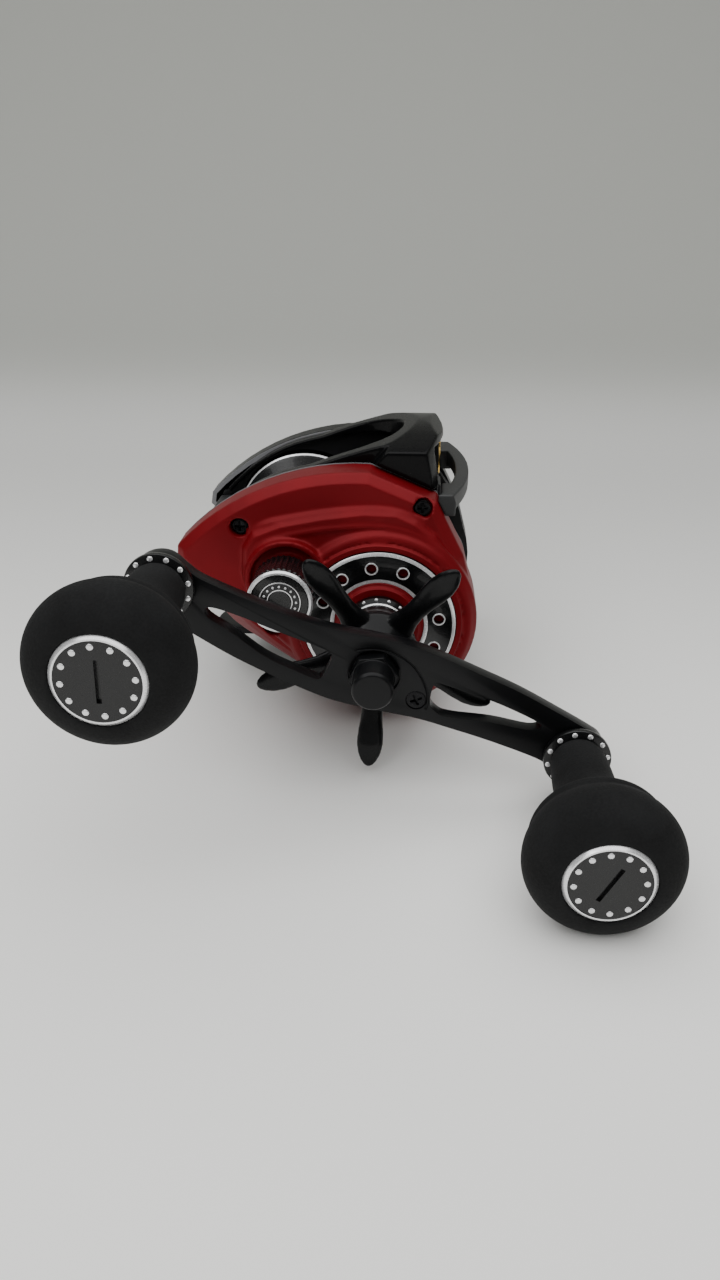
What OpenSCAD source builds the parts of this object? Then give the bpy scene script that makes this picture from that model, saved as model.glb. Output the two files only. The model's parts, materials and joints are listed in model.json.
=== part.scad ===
// Low-profile baitcasting reel, right-hand retrieve.
// +X runs along the spool and handle axes towards the handle, +Y to where the line leaves, +Z up.
// Origin: the centre of the underside of the reel foot.

/* [Body] */
// Height of the handle axis above the underside of the foot
handle_z = 14.5; // [14.3:0.1:14.7]
// Distance of the handle axis in front of the middle of the foot
handle_y = 12; // [11.8:0.1:12.2]
// Gap between the two side walls of the frame
frame_gap = 30; // [29.8:0.1:30.4]
// Thickness of each side wall
wall_t = 2; // [1.8:0.1:2]
// Length of the reel foot
foot_length = 64; // [60:1:66]
// Width of the reel foot
foot_width = 15.5; // [15:0.5:16]

/* [Spool] */
// Radius of the spool flanges
flange_r = 18.3; // [17.5:0.1:18.3]
// Radius of the arbor that the line is wound on
arbor_r = 11.5; // [10.5:0.5:12.5]

/* [Handle] */
// Distance between the two knob axes
handle_length = 95; // [90:1:96]
// Angle of the handle below the horizontal, at its front end
handle_angle = 23.4; // [23:0.1:24]
// Thickness of the handle plate
plate_t = 3.3; // [3:0.1:3.3]
// Largest radius of a knob
knob_r = 15; // [14:0.5:15]
// Radius to the tips of the star drag's arms
star_r = 26.9; // [25:0.1:27]

/* [Line guide] */
// Place of the line guide at rest, from the middle
guide_rest_x = -5; // [-6:0.5:-4]

/* [Hidden] */
$fn = 64;

// Tooth size (module) and tooth counts of the drive gear and the pinion
drive_module = 0.58;
drive_teeth = 71;
pinion_teeth = 10;
// Tooth size and tooth counts of the line guide's gears, from the drive shaft to the worm shaft
guide_module = 0.5;
guide_drive_teeth = 24;
idler_teeth = 22;
worm_teeth = 14;
// Running fit between a shaft and its hole
fit = 0.05;
// Half the gap between the walls, and the outer faces of the walls
gap_x = frame_gap / 2;
wall_x = gap_x + wall_t;
// Gasket thickness and the inner faces of the side covers
gasket_t = 0.4;
cover_x = wall_x + gasket_t;
// Spool axis, where the gears mesh with the spool axis behind and above the handle axis
gear_centres = drive_module * (drive_teeth + pinion_teeth) / 2;
spool_angle = 154.8;
spool_y = handle_y + gear_centres * cos(spool_angle);
spool_z = handle_z + gear_centres * sin(spool_angle);
// Worm shaft axis and guide rail
worm_y = 20;
worm_z = 33;
rail_y = 24;
rail_z = 36.6;
// Handle shaft and star
shaft_r = 2.5;
plate_x = 53.4;
// Knob spindles
spindle_r = 2;
// Colours
black = [0.06, 0.06, 0.07];
dark_grey = [0.2, 0.2, 0.21];
crimson = [0.55, 0.05, 0.08];
silver = [0.8, 0.8, 0.82];
brass = [0.8, 0.62, 0.25];

// Points of an arc about (cy, cz) from angle a0 to a1
function arc(cy, cz, r, a0, a1, n) =
    [for (i = [0:n]) let (a = a0 + (a1 - a0) * i / n) [cy + r * cos(a), cz + r * sin(a)]];

// The back and top of the side covers are one arc about this point
back_y = 6.3;
back_z = -8.6;
back_r = 57.3;
// Line over the frame's side walls from the tail to the front lip. The walls end 3 mm below it
// and the hood's rims dip 1.9 mm below it, except at the lip.
roof_line = [[-31.6, 34.2], [-29.4, 36.5], [-27, 38.6], [-24.9, 40.4], [-22.8, 41.9], [-20.4, 43.5],
    [-18, 44.9], [-15.3, 46.2], [-12.5, 47.3], [-9, 48.3], [-5.3, 49.2], [-1.5, 50.1],
    [2.3, 50.9], [5.6, 51.4], [9, 51.9]];
roof_t = 3;
rim_dip = 1.9;
lip_from = len(roof_line) - 1;
function inward(p, depth) =
    let (v = p - [back_y, back_z])
    [back_y, back_z] + v * (1 - depth / norm(v));
rim_line = [for (i = [0:lip_from]) inward(roof_line[i], rim_dip * min(1, (lip_from - i) / 4))];
rim_inside = [for (i = [lip_from:-1:0]) inward(roof_line[i], roof_t)];
// Outline of the side covers: rear tip, arc over the top, front corner and gear housing
housing_r = 22.7;
outline_r = housing_r - 0.3;
body_top = arc(back_y, back_z, back_r, 136.5, 87, 12);
body_front = [[24.7, 42.2], [25.5, 38.3], [28.2, 34.6], [31.2, 29.4]];
face_outline = concat([[-35.6, 27.8]], body_top, body_front,
    arc(handle_y, handle_z, outline_r, 22, -128, 15), [[-9.1, 3], [-13.5, 5.5], [-19.7, 10.9]]);
// Where the covers meet the frame the outline also holds the spool
base_bottom = concat(arc(handle_y, handle_z, outline_r, 22, -122, 15),
    arc(spool_y, spool_z, 21.4, 252, 184, 8));
base_outline = concat([[-35.8, 27.6]], body_top, body_front, base_bottom);
// Outline of the frame's walls, which stop under the rim of the hood
wall_outline = concat([[-33.8, 27.4], [-31.8, 31.6]], [for (i = [len(rim_inside) - 1:-1:0]) rim_inside[i]],
    [[23, 41], [24.4, 40.1], [25.2, 39.4], [25.3, 38.6], [28, 34.6], [31, 29.4]], base_bottom);
// Places of the three screws in each side cover, and the radii of screw, head and counterbore
screw_places = [[-20.2, 35.9], [21.4, 40.9], [-13.5, 11.5]];
screw_r = 1;
head_r = 1.8;
counterbore_r = 2.2;
// Places and radii of the two foot screws
foot_screw_y = [-8, 8];
foot_screw_r = 1.2;
foot_head_r = 2.3;

// A flat (y, z) outline made a slab from x0 to x1
module slab(x0, x1) {
    translate([x0, 0, 0])
        rotate([90, 0, 90])
            linear_extrude(x1 - x0)
                children();
}

// A round bar along X, centred on the X axis
module bar(x0, x1, r, r2 = 0) {
    translate([x0, 0, 0])
        rotate([0, 90, 0])
            cylinder(r1 = r, r2 = r2 > 0 ? r2 : r, h = x1 - x0);
}

// A tube along X
module tube(x0, x1, r, bore) {
    difference() {
        bar(x0, x1, r);
        bar(x0 - 1, x1 + 1, bore);
    }
}

// A (radius, x) profile spun about the X axis
module spun(profile) {
    rotate([0, 90, 0])
        rotate_extrude()
            polygon(profile);
}

module at(y, z) {
    translate([0, y, z])
        children();
}

module at_handle() {
    at(handle_y, handle_z)
        children();
}

module at_spool() {
    at(spool_y, spool_z)
        children();
}

// The handle's own directions: its Y runs to the lower front knob
module at_arm() {
    at_handle()
        rotate([-handle_angle, 0, 0])
            children();
}

// Involute of an angle, in degrees
function inv(a) = tan(a) * 180 / PI - a;

// Half the angle of a tooth at radius r, with slack taken off each flank
function half_tooth(r, teeth, m, slack) =
    let (pitch_r = teeth * m / 2, base_r = pitch_r * cos(20))
    90 / teeth - slack / pitch_r * 180 / PI + inv(20) - (r > base_r ? inv(acos(base_r / r)) : 0);

// Outline of a spur gear whose first tooth is at angle phase
module gear_outline(teeth, m, phase, slack = 0.05) {
    pitch_r = teeth * m / 2;
    radii = [pitch_r - 1.05 * m, pitch_r, pitch_r + 0.8 * m];
    polygon([for (i = [0:teeth - 1]) for (k = [0:5])
        let (
            r = radii[k < 3 ? k : 5 - k],
            side = k < 3 ? -1 : 1,
            a = phase + i * 360 / teeth + side * half_tooth(r, teeth, m, slack)
        )
        [r * cos(a), r * sin(a)]]);
}

// Phase of gear b so that it meshes with gear a across the line of centres at angle line
function mesh_phase(line, phase_a, teeth_a, teeth_b) =
    line + 180 - 360 / teeth_b * (0.5 - (line - phase_a) * teeth_a / 360);

pinion_phase = mesh_phase(spool_angle, 0, drive_teeth, pinion_teeth);

// The idler sits where it meshes with both the guide drive gear and the worm gear
to_worm = sqrt(pow(worm_y - handle_y, 2) + pow(worm_z - handle_z, 2));
to_worm_angle = atan2(worm_z - handle_z, worm_y - handle_y);
drive_to_idler = guide_module * (guide_drive_teeth + idler_teeth) / 2;
idler_to_worm = guide_module * (idler_teeth + worm_teeth) / 2;
idler_angle = to_worm_angle + acos((pow(drive_to_idler, 2) + pow(to_worm, 2)
    - pow(idler_to_worm, 2)) / (2 * drive_to_idler * to_worm));
idler_y = handle_y + drive_to_idler * cos(idler_angle);
idler_z = handle_z + drive_to_idler * sin(idler_angle);
idler_phase = mesh_phase(idler_angle, 0, guide_drive_teeth, idler_teeth);
worm_line = atan2(worm_z - idler_z, worm_y - idler_y);
worm_phase = mesh_phase(worm_line, idler_phase, idler_teeth, worm_teeth);

// Layers of the gear case, outwards from the frame's wall
guide_gear_x = [17.5, 19.3];
drive_gear_x = [20.6, 23.8];

module frame() {
    color(black) {
        difference() {
            for (side = [-1, 1])
                mirror([side < 0 ? 1 : 0, 0, 0])
                    slab(gap_x, wall_x)
                        polygon(wall_outline);
            // the spool comes out through the palm side
            at_spool()
                bar(-wall_x - 1, -gap_x + 1, flange_r + 0.5);
            // clearance for the pinion, and seats for bearings and bushes
            at_spool()
                bar(gap_x - 1, wall_x + 1, 4.2);
            at_handle()
                bar(gap_x - 1, wall_x + 1, 4.8);
            at(worm_y, worm_z)
                bar(-wall_x - 1, wall_x + 1, 3);
            at(rail_y, rail_z)
                bar(-wall_x - 1, wall_x + 1, 1.3);
            for (p = screw_places)
                at(p[0], p[1])
                    bar(-wall_x - 1, wall_x + 1, screw_r);
            // slots that the thumb bar's ends slide in
            slab(-wall_x - 1, wall_x + 1)
                translate([-29.7, 23])
                    square([1.7, 8]);
        }
        // floor over the foot, with the foot's screw holes
        difference() {
            translate([-gap_x, -13, 3])
                cube([frame_gap, 41, 2]);
            for (y = foot_screw_y)
                translate([0, y, 2])
                    cylinder(r = foot_screw_r, h = 4);
        }
        // palm rest behind the spool, and the cross bar under the line guide
        slab(-gap_x, gap_x)
            polygon(concat(arc(spool_y, spool_z, 21.2, 184, 260, 10),
                arc(spool_y, spool_z, 19.3, 262, 184, 10)));
        slab(-gap_x, gap_x)
            polygon(arc(29.5, 14.5, 1.8, 0, 330, 11));
        // idler axle and the two posts of the clutch yoke
        at(idler_y, idler_z)
            bar(wall_x, 19.9, 1.5);
        at_spool()
            for (side = [-1, 1])
                rotate([spool_angle - 90, 0, 0])
                    at(7 * side, 0)
                        bar(wall_x, 22.6, 0.9);
    }
}

module reel_foot() {
    color(black)
        difference() {
            intersection() {
                slab(-foot_width, foot_width)
                    polygon([[-foot_length / 2, 0], [foot_length / 2, 0],
                        [foot_length / 2, 1.6], [foot_length / 2 - 11, 2.6],
                        [foot_length / 2 - 18, 3], [18 - foot_length / 2, 3],
                        [11 - foot_length / 2, 2.6], [-foot_length / 2, 1.6]]);
                union() {
                    translate([-foot_width / 2, (foot_width - foot_length) / 2, -1])
                        cube([foot_width, foot_length - foot_width, 5]);
                    for (side = [-1, 1])
                        translate([0, side * (foot_length - foot_width) / 2, -1])
                            cylinder(r = foot_width / 2, h = 5);
                }
            }
            for (y = foot_screw_y)
                translate([0, y, -1]) {
                    cylinder(r = foot_screw_r, h = 5);
                    cylinder(r = foot_head_r, h = 2.4);
                }
        }
}

module foot_screws() {
    color(silver)
        for (y = foot_screw_y)
            translate([0, y, 0.2]) {
                cylinder(r = foot_head_r, h = 1.2);
                cylinder(r = foot_screw_r, h = 4.6);
            }
}

// Side view of the rim that runs over the spool, from the tail to the front lip
rim_profile = concat(rim_line, [[14, 53.2], [20.4, 55.4], [23, 55], [28, 51.8], [20.5, 51.8],
    [14.5, 49.4]], rim_inside);
// Side view of the cheeks, behind the front edges of the side covers and above them
inner_cheek_profile = concat([rim_inside[0], rim_line[len(rim_line) - 1]], [[14, 53.2],
    [20.4, 55.4], [23, 55], [28, 50.6], [25.9, 48.2], [25.1, 43.9], [24.4, 40.1], [23, 41]]);
cheek_profile = [[10.2, 49], [14, 53.2], [20.4, 55.4], [23, 55], [27.6, 50.8], [25.9, 48.2],
    [25.3, 43.9], [25.1, 42.6]];

module hood() {
    color(black)
        difference() {
            intersection() {
                union() {
                    slab(-wall_x, wall_x)
                        polygon(rim_profile);
                    for (side = [-1, 1])
                        mirror([side < 0 ? 1 : 0, 0, 0]) {
                            slab(gap_x, wall_x)
                                polygon(inner_cheek_profile);
                            slab(wall_x, 20)
                                polygon(cheek_profile);
                        }
                }
                // crowned from side to side
                translate([0, 60, 0])
                    rotate([90, 0, 0])
                        linear_extrude(120)
                            polygon(concat([[-25, 20], [25, 20], [25, 49.5]],
                                arc(0, -4.8, 60, 68, 112, 20), [[-25, 49.5]]));
                // bowed front, more so at the lip
                hull() {
                    translate([0, -45, 0])
                        cylinder(r = 72, h = 41, $fn = 120);
                    translate([0, -8.5, 55])
                        cylinder(r = 34, h = 5, $fn = 120);
                }
            }
            // the window over the spool, round at its front end
            translate([0, 0, 30])
                linear_extrude(40) {
                    translate([-12.9, -40])
                        square([25.8, 43.6]);
                    translate([0, 3.6])
                        circle(r = 12.9);
                }
            // the front cover screws pass through the cheeks
            at(screw_places[1][0], screw_places[1][1])
                bar(-wall_x - 1, wall_x + 1, screw_r);
        }
}

// The front bar is bowed about this centre
bow_y = -39.7;
bow_r = 72.3;
// Its underside, height, thickness and ends
bar_z = 39.8;
bar_h = 3.8;
bar_t = 3.2;
bar_end_x = 24.8;

module front_bar() {
    color(dark_grey)
        difference() {
            union() {
                intersection() {
                    translate([0, bow_y, bar_z])
                        difference() {
                            cylinder(r = bow_r, h = bar_h, $fn = 180);
                            translate([0, 0, -1])
                                cylinder(r = bow_r - bar_t, h = bar_h + 2, $fn = 180);
                        }
                    translate([-bar_end_x, 20, bar_z - 1])
                        cube([2 * bar_end_x, 20, bar_h + 2]);
                }
                for (side = [-1, 1])
                    mirror([side < 0 ? 1 : 0, 0, 0])
                        slab(gap_x, bar_end_x)
                            polygon([[25.6, 43.6], [28.2, 43.6], [29, 41.6], [28.8, 38.6],
                                [25.9, 38.6], [25.9, 39.4]]);
            }
            // clear of the side covers
            for (side = [-1, 1])
                mirror([side < 0 ? 1 : 0, 0, 0])
                    slab(wall_x, 40)
                        offset(delta = 0.05)
                            hull()
                                polygon(base_outline);
        }
}

// Raised shoulder of the side cover, round the tension knob and the gear housing
shoulder = [[-20, 25], [-19.6, 31.4], [-17.3, 35.1], [-10.9, 37.7], [-1.1, 39.7], [8, 40.9],
    [15.5, 40.7], [20.2, 38.6], [24.6, 35], [30.6, 26], [24, -3], [4, -5], [-6, 3], [-17, 13]];

// Solid of a side cover before it is hollowed
module cover_blank(edge_x, face_x) {
    hull() {
        slab(cover_x, cover_x + 2)
            polygon(base_outline);
        slab(cover_x, edge_x)
            polygon(face_outline);
        slab(cover_x, face_x)
            offset(delta = edge_x - face_x)
                polygon(face_outline);
    }
}

module cover_hollow(depth_x) {
    difference() {
        slab(cover_x - 1, depth_x)
            offset(delta = -1.5)
                polygon(face_outline);
        for (p = screw_places)
            at(p[0], p[1])
                bar(cover_x - 2, depth_x + 1, 2.6);
    }
}

// Underside of the cover screws' heads
head_x = 24.6;

module screw_holes() {
    for (p = screw_places)
        at(p[0], p[1]) {
            bar(0, 40, screw_r);
            bar(head_x, 40, counterbore_r);
        }
}

// Neck that the tension knob screws on to
neck_r = 5.6;

module handle_side_cover() {
    color(crimson)
        difference() {
            union() {
                cover_blank(25.4, 27.4);
                hull() {
                    slab(25.4, 28.2)
                        polygon(shoulder);
                    slab(25.4, 29.2)
                        offset(delta = -1)
                            polygon(shoulder);
                }
                at_handle()
                    spun([[0, cover_x], [housing_r, cover_x], [housing_r, 28.8],
                        [21.2, 30.4], [19.9, 30.8], [19.7, 30.3], [19.3, 30.3], [19.1, 31.3],
                        [17.9, 31.3], [17.9, 30.2], [10.3, 30.2], [10.3, 31.8], [9.2, 31.8],
                        [9.2, 32.6], [0, 32.6]]);
                difference() {
                    at_spool()
                        bar(25.4, 31.4, 10.4, 9.6);
                    at_handle()
                        bar(30.2, 33, 18.5);
                }
                at_spool()
                    bar(25.4, 36, neck_r);
            }
            difference() {
                union() {
                    cover_hollow(25.6);
                    at_handle()
                        bar(cover_x - 1, 28.2, housing_r - 1.2);
                }
                at_spool()
                    bar(24, 30, neck_r);
            }
            // pocket round the tension knob, clear of the trim ring's seat
            difference() {
                at_spool()
                    bar(28.4, 40, 8.4);
                at_spool()
                    bar(28, 41, neck_r);
                at_handle()
                    bar(28, 41, 20.3);
            }
            // stepped bore for the pinion, its bearing and the spool's bearing
            at_spool() {
                bar(20, 30, 5);
                bar(29, 33, 2.7);
                bar(32.4, 40, 4);
            }
            // seat of the anti-reverse bearing
            at_handle() {
                bar(28, 32, 7);
                bar(28, 40, 4.8);
            }
            screw_holes();
        }
}

module cover_gasket() {
    color(silver)
        for (side = [-1, 1])
            mirror([side < 0 ? 1 : 0, 0, 0])
                difference() {
                    slab(wall_x, cover_x)
                        polygon(base_outline);
                    slab(wall_x - 1, cover_x + 1)
                        offset(delta = -1.1)
                            polygon(base_outline);
                }
}

// Three cap screws with a cross recess
module cover_screws() {
    color(black)
        for (p = screw_places)
            at(p[0], p[1])
                difference() {
                    union() {
                        bar(15.4, 25, screw_r);
                        bar(head_x, head_x + 1.6, head_r);
                    }
                    for (turn = [0, 90])
                        rotate([turn, 0, 0])
                            translate([25.4, -1.2, -0.25])
                                cube([2, 2.4, 0.5]);
                }
}

module trim_ring() {
    color(black)
        at_handle()
            difference() {
                spun([[10.4, 30.2], [17.7, 30.2], [17.7, 31.6], [17.3, 32], [10.8, 32],
                    [10.4, 31.6]]);
                for (i = [0:11])
                    rotate([7.4 + 30 * i, 0, 0])
                        at(13.9, 0)
                            bar(29, 33, 1.25);
            }
}

module palm_side_cover() {
    color(black)
        mirror([1, 0, 0])
            difference() {
                union() {
                    cover_blank(24.2, 27);
                    at_spool()
                        bar(24, 27.6, 13, 11.6);
                }
                difference() {
                    cover_hollow(24.6);
                    at_spool()
                        bar(18.6, 26, 5);
                }
                // seat of the brake dial, the magnet carrier's bore and the spool's bearing
                at_spool() {
                    bar(26.2, 29, 9.3);
                    bar(21.4, 30, 2.6);
                    bar(18, 21.4, 4);
                }
                screw_holes();
            }
}

module palm_screws() {
    color(black)
        mirror([1, 0, 0])
            cover_screws();
}

module guide_rail() {
    color(silver)
        at(rail_y, rail_z)
            bar(-16.8, 16.8, 1.3);
}

module worm_bushes() {
    color(brass)
        at(worm_y, worm_z)
            for (side = [-1, 1])
                mirror([side < 0 ? 1 : 0, 0, 0])
                    tube(gap_x, wall_x, 3, 1.5 + fit);
}

module shaft_bearing() {
    color(silver)
        at_handle()
            tube(gap_x, wall_x, 4.8, shaft_r + fit);
}

module anti_reverse_bearing() {
    color(silver)
        at_handle()
            tube(28.2, 32, 7, 4 + fit);
}

module pinion_bearing() {
    color(silver)
        at_spool()
            tube(27.6, 30, 5, 2.2 + fit);
}

module spool_bearings() {
    color(silver)
        at_spool() {
            tube(32.4, 34.9, 4, 1.5 + fit);
            tube(-21.2, -18.7, 4, 1.5 + fit);
        }
}

// Ring of points round a helix, for a spring wound along X
function spring_ring(coil_r, wire_r, pitch, a, sides) =
    [for (k = [0:sides - 1])
        let (r = coil_r + wire_r * cos(k * 360 / sides))
        [pitch * a / 360 + wire_r * sin(k * 360 / sides), r * cos(a), r * sin(a)]];

module spring(coil_r, wire_r, pitch, turns, sides = 6, steps = 12) {
    rings = turns * steps;
    last = rings * sides;
    polyhedron(
        points = [for (i = [0:rings])
            each spring_ring(coil_r, wire_r, pitch, i * 360 / steps, sides)],
        faces = concat(
            [for (i = [0:rings - 1]) for (k = [0:sides - 1])
                [i * sides + k, i * sides + (k + 1) % sides,
                    (i + 1) * sides + (k + 1) % sides, (i + 1) * sides + k]],
            [[for (k = [0:sides - 1]) sides - 1 - k]],
            [[for (k = [0:sides - 1]) last + k]]));
}

module yoke_springs() {
    color(silver)
        at_spool()
            for (side = [-1, 1])
                rotate([spool_angle - 90, 0, 0])
                    at(7 * side, 0)
                        translate([18.8, 0, 0])
                            spring(1.35, 0.22, 0.9, 4);
}

module drive_shaft() {
    color(silver)
        at_handle() {
            bar(14.4, 60.2, shaft_r);
            bar(49, plate_x, 4.4);
        }
}

module drive_gear() {
    color(brass)
        at_handle()
            difference() {
                slab(drive_gear_x[0], drive_gear_x[1])
                    gear_outline(drive_teeth, drive_module, 0);
                bar(20, 25, shaft_r);
                bar(21.8, 25, 16);
                for (i = [0:5])
                    rotate([i * 60, 0, 0])
                        at(9, 0)
                            bar(20, 25, 2.2);
            }
}

module drag_washers() {
    color(dark_grey)
        at_handle()
            for (i = [0:2])
                tube(21.8 + i * 0.9, 22.5 + i * 0.9, 15.8, shaft_r);
}

module pressure_plate() {
    color(silver)
        at_handle()
            tube(24.4, 25.6, 15.8, shaft_r);
}

// Cupped spring washers, back to back
module drag_springs() {
    color(silver)
        at_handle()
            for (i = [0:1])
                translate([25.6 + i, 0, 0])
                    spun(i == 0
                        ? [[shaft_r, 0.6], [5.5, 0], [6, 0.4], [shaft_r, 1]]
                        : [[shaft_r, 0], [6, 0.6], [5.5, 1], [shaft_r, 0.4]]);
}

module anti_reverse_sleeve() {
    color(silver)
        at_handle()
            tube(27.6, 33.6, 4, shaft_r);
}

module guide_drive_gear() {
    color(brass)
        at_handle()
            difference() {
                slab(guide_gear_x[0], guide_gear_x[1])
                    gear_outline(guide_drive_teeth, guide_module, 0);
                bar(17, 20, shaft_r);
            }
}

// Edges of the handle plate, as seen from the knobs' side
plate_edge = [[-42, 4.2], [-30, 4.4], [-21, 4.9], [-12.4, 5.8], [-4.1, 7.6], [4.6, 9.2],
    [10.8, 9.5], [20, 9.3], [29.5, 8.8], [39.6, 7.5], [47.5, 6.3]];
slot_outline = [[12.4, 3.2], [14.8, 3.9], [25, 4.6], [35.2, 4.1], [37.2, 2.9], [35.4, 1.2],
    [27.2, -0.2], [18.5, -3], [16, -3.2], [13.9, -1.9]];
arm_end = handle_length / 2;

module handle_arm() {
    color(black)
        at_arm()
            difference() {
                intersection() {
                    slab(50, 60) {
                        polygon(concat(plate_edge, [for (p = plate_edge) -p]));
                        for (side = [-1, 1])
                            translate([side * arm_end, 0])
                                circle(r = 6.3);
                    }
                    // the ends sweep back a little
                    translate([0, 0, -20])
                        linear_extrude(40)
                            polygon([[plate_x, -20], [plate_x, 20], [plate_x - 1.9, 56],
                                [plate_x + plate_t - 1.9, 56], [plate_x + plate_t, 20],
                                [plate_x + plate_t, -20], [plate_x + plate_t - 1.9, -56],
                                [plate_x - 1.9, -56]]);
                }
                for (side = [-1, 1])
                    slab(50, 60)
                        polygon([for (p = slot_outline) side * p]);
                // recess of the nut and the bore of the shaft
                bar(plate_x + plate_t - 1.3, 60, 5.5);
                bar(50, 60, shaft_r);
                at(10.5, -1.9)
                    bar(plate_x + plate_t - 1.6, 60, 2.1);
                for (side = [-1, 1])
                    at(side * arm_end, 0)
                        bar(50, 60, spindle_r);
            }
}

nut_x = plate_x + plate_t - 1.3;

module handle_nut() {
    color(dark_grey)
        at_arm()
            difference() {
                union() {
                    translate([nut_x, 0, 0])
                        rotate([0, 90, 0])
                            cylinder(r = 5.3, h = 3.4, $fn = 6);
                    bar(nut_x + 3.4, 64.3, 4.3);
                    bar(64.3, 64.8, 4.3, 3.8);
                }
                bar(50, 60.2, shaft_r);
            }
}

module nut_lock_screw() {
    color(silver)
        at_arm()
            at(10.5, -1.9)
                difference() {
                    bar(plate_x + plate_t - 1.6, plate_x + plate_t - 0.2, 2.1);
                    for (turn = [45, 135])
                        rotate([turn, 0, 0])
                            translate([plate_x + plate_t - 0.9, -1.3, -0.25])
                                cube([2, 2.6, 0.5]);
                }
}

// Knobs stand from base_x to cap_x
base_x = 55.5;
cap_x = 98.6;

module knob_spindles() {
    color(silver)
        at_arm()
            for (side = [-1, 1])
                at(side * arm_end, 0) {
                    bar(50.8, 94.4, spindle_r);
                    bar(94.4, 95.6, 3.2);
                    bar(50.8, 51.7, 3.6);
                }
}

// Metal core of a knob, with its dotted collar
module knob_sleeve() {
    color(black)
        difference() {
            union() {
                spun([[0, base_x + 0.3], [6.6, base_x + 0.3], [7.2, base_x + 0.9],
                    [7.2, base_x + 2.3], [6.7, base_x + 2.8], [0, base_x + 2.8]]);
                bar(base_x + 2, 92, 4.9);
            }
            bar(50, 100, 2.3);
            bar(base_x, base_x + 3.4, 4);
            bar(86, 93, 4);
        }
}

module knob_grip() {
    color(black)
        difference() {
            spun(concat(
                [[0, 58.3], [5.6, 58.3], [6.2, 61], [6.3, 66], [6.5, 71], [7.2, 75.5], [8.8, 79]],
                [[10.9, 81.4], [12.5, 82.8], [13.2, 84.2], [13.2, 85.4]],
                [[13.9, 87.4], [14.8, 89.4], [knob_r, 91.4], [14.7, 93.6]],
                [[13.8, 95.6], [12.2, 97.2], [10, 98.3], [8.6, 98.4], [8.6, 92], [0, 92]]));
            bar(50, 100, 4.9);
        }
}

// Screw-in cap with a coin slot
module knob_cap(slot_turn) {
    color(black)
        difference() {
            spun([[0, 96], [4, 96], [4, 92], [8.5, 92], [8.5, 98.1], [8, cap_x], [0, cap_x]]);
            rotate([slot_turn, 0, 0])
                translate([97.7, -4, -0.45])
                    cube([3, 8, 0.9]);
        }
}

module knob_bearings() {
    color(silver) {
        tube(base_x + 0.4, base_x + 3.4, 4, spindle_r + fit);
        tube(86, 89, 4, spindle_r + fit);
    }
}

module at_rear_knob() {
    at_arm()
        at(-arm_end, 0)
            children();
}

module at_front_knob() {
    at_arm()
        at(arm_end, 0)
            children();
}

module rear_knob_sleeve() {
    at_rear_knob()
        knob_sleeve();
}

module rear_knob_grip() {
    at_rear_knob()
        knob_grip();
}

module rear_knob_cap() {
    at_rear_knob()
        knob_cap(handle_angle + 88);
}

module rear_knob_bearings() {
    at_rear_knob()
        knob_bearings();
}

module front_knob_sleeve() {
    at_front_knob()
        knob_sleeve();
}

module front_knob_grip() {
    at_front_knob()
        knob_grip();
}

module front_knob_cap() {
    at_front_knob()
        knob_cap(handle_angle + 62);
}

module front_knob_bearings() {
    at_front_knob()
        knob_bearings();
}

// Five paddle arms that rise outwards from a domed hub
module star_drag() {
    color(black)
        at_handle()
            difference() {
                union() {
                    spun([[0, 33], [7.8, 33], [7.8, 34.6], [7.2, 35.2], [6.9, 37], [6.7, 42],
                        [7, 43], [7, 47.4], [5.6, 48.6], [0, 48.6]]);
                    for (i = [0:4])
                        rotate([122.9 + 72 * i, 0, 0])
                            hull() {
                                translate([45.2, 5, 0])
                                    rotate([0, 90, 0])
                                        cylinder(r = 2.6, h = 2.8, $fn = 24);
                                translate([47.6, 16, 0])
                                    rotate([0, 90, 0])
                                        cylinder(r = 2.8, h = 2.2, $fn = 24);
                                translate([49.4, star_r - 1.6, 0])
                                    rotate([0, 90, 0])
                                        cylinder(r = 1.6, h = 1.5, $fn = 24);
                            }
                }
                bar(30, 38, 4.2);
                bar(37, 45, 4.5);
                bar(30, 50, shaft_r + fit);
            }
}

module star_nut() {
    color(brass)
        at_handle()
            tube(38, 45, 4.5, shaft_r + fit);
}

module spool() {
    color(black)
        at_spool()
            difference() {
                spun([[0, -2], [arbor_r - 1.2, -2], [arbor_r - 1.2, -12.2], [flange_r - 3, -13.2],
                    [flange_r - 0.4, -13.6], [flange_r, -13.2], [flange_r, -12.6],
                    [flange_r - 3, -12.2], [arbor_r, -9.5], [arbor_r, 9.5],
                    [flange_r - 3, 12.2], [flange_r, 12.6], [flange_r, 13.2],
                    [flange_r - 0.4, 13.6], [flange_r - 3, 13.2], [arbor_r - 1.2, 12.2],
                    [arbor_r - 1.2, 2], [4, 2], [4, 13.6], [0, 13.6]]);
                bar(-20, 20, 1.5);
            }
}

module spool_shaft() {
    color(silver)
        at_spool() {
            bar(-21.3, 36.2, 1.5);
            // driving pin across the shaft
            translate([15.3, 0, 0])
                rotate([90, 0, 0])
                    cylinder(r = 0.5, h = 5.4, center = true);
        }
}

// Aluminium cup that turns in the magnets' field
module brake_rotor() {
    color(silver)
        at_spool()
            difference() {
                bar(-16.8, -13.8, 9);
                bar(-17, -14.6, 8.2);
                bar(-18, -12, 1.5);
            }
}

module pinion_gear() {
    color(brass)
        at_spool()
            difference() {
                union() {
                    bar(15.2, 17.1, 3.4);
                    bar(17, 30.4, 2.2);
                    slab(18.6, 25.6)
                        gear_outline(pinion_teeth, drive_module, pinion_phase);
                }
                bar(14, 31, 1.5 + fit);
                // slot that takes the spool's driving pin
                translate([15, -4, -0.6])
                    cube([1.4, 8, 1.2]);
            }
}

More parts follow.
